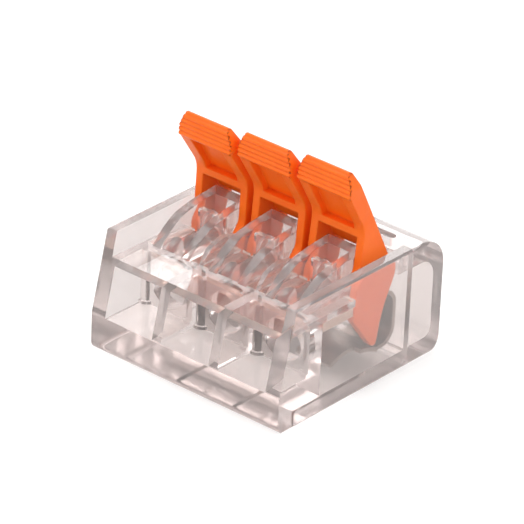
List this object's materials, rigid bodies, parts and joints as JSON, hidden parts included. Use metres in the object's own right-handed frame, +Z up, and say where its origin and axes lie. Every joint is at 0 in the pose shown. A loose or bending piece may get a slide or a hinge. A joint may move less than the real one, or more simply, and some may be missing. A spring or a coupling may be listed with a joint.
{
  "type": "lever wire connector",
  "caption": "Compact splicing connector: a clear housing with wire ports, hollow domes and a rear cover, a busbar inside, and a clamping spring under an orange lever at each port.",
  "frame": {"origin": "centre of the flat base", "axes": "+X across the ports, -Y out of the wire entries, +Z up"},
  "size_m": [0.0188, 0.0188, 0.0181],
  "materials": {
    "clear_shell": "clear polycarbonate, polished",
    "lever_plastic": "satin moulded",
    "tinned_copper": "tin plated, satin",
    "spring_steel": "rolled strip"
  },
  "bodies": {
    "body": {"housing": "clear_shell", "rear_cover": "clear_shell", "busbar": "tinned_copper", "spring_left": "spring_steel", "spring_middle": "spring_steel", "spring_right": "spring_steel"},
    "lever_left": {"lever_left": "lever_plastic"},
    "tongue_left": {"tongue_left": "spring_steel"},
    "lever_middle": {"lever_middle": "lever_plastic"},
    "tongue_middle": {"tongue_middle": "spring_steel"},
    "lever_right": {"lever_right": "lever_plastic"},
    "tongue_right": {"tongue_right": "spring_steel"}
  },
  "joints": [
    {"name": "lever_left_hinge", "type": "hinge", "parent": "body", "child": "lever_left", "pos_m": [-0.00565, 0.0013, 0.008], "axis": [1, 0, 0], "range_deg": [-4, 54]},
    {"name": "tongue_left_flex", "type": "hinge", "parent": "body", "child": "tongue_left", "pos_m": [-0.00565, 0.0035, 0.00175], "axis": [1, 0, 0], "range_deg": [-37.8, 2.8]},
    {"name": "lever_middle_hinge", "type": "hinge", "parent": "body", "child": "lever_middle", "pos_m": [0, 0.0013, 0.008], "axis": [1, 0, 0], "range_deg": [-2, 56]},
    {"name": "tongue_middle_flex", "type": "hinge", "parent": "body", "child": "tongue_middle", "pos_m": [0, 0.0035, 0.00175], "axis": [1, 0, 0], "range_deg": [-39.2, 1.4]},
    {"name": "lever_right_hinge", "type": "hinge", "parent": "body", "child": "lever_right", "pos_m": [0.00565, 0.0013, 0.008], "axis": [1, 0, 0], "range_deg": [0, 58]},
    {"name": "tongue_right_flex", "type": "hinge", "parent": "body", "child": "tongue_right", "pos_m": [0.00565, 0.0035, 0.00175], "axis": [1, 0, 0], "range_deg": [-40.6, 0]}
  ],
  "couplings": [
    {"joint": "tongue_left_flex", "follows": "lever_left_hinge", "ratio": -0.7},
    {"joint": "tongue_middle_flex", "follows": "lever_middle_hinge", "ratio": -0.7},
    {"joint": "tongue_right_flex", "follows": "lever_right_hinge", "ratio": -0.7}
  ]
}
